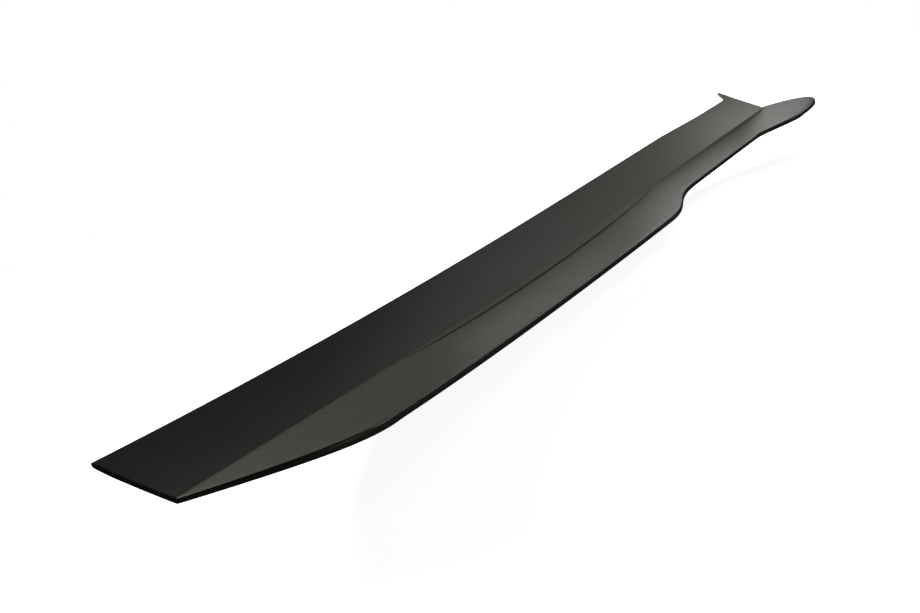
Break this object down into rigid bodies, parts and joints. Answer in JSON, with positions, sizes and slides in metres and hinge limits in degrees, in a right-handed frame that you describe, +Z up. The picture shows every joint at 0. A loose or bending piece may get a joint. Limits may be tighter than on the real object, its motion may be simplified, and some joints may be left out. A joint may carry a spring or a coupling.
{
  "type": "car rear spoiler",
  "caption": "Curved plastic rear spoiler: a flat front base folds up into a rear blade, with rounded ends, a recessed front edge and a turned-down rim.",
  "frame": {"origin": "underside of the fold line at mid span, the lowest point of the shell", "axes": "+X across the car to its left, +Y to the rear, towards the blade's free edge, +Z up"},
  "size_m": [1.252, 0.2389, 0.0821],
  "materials": {
    "shell": "satin black"
  },
  "bodies": {
    "root": {"spoiler": "shell"}
  },
  "joints": []
}
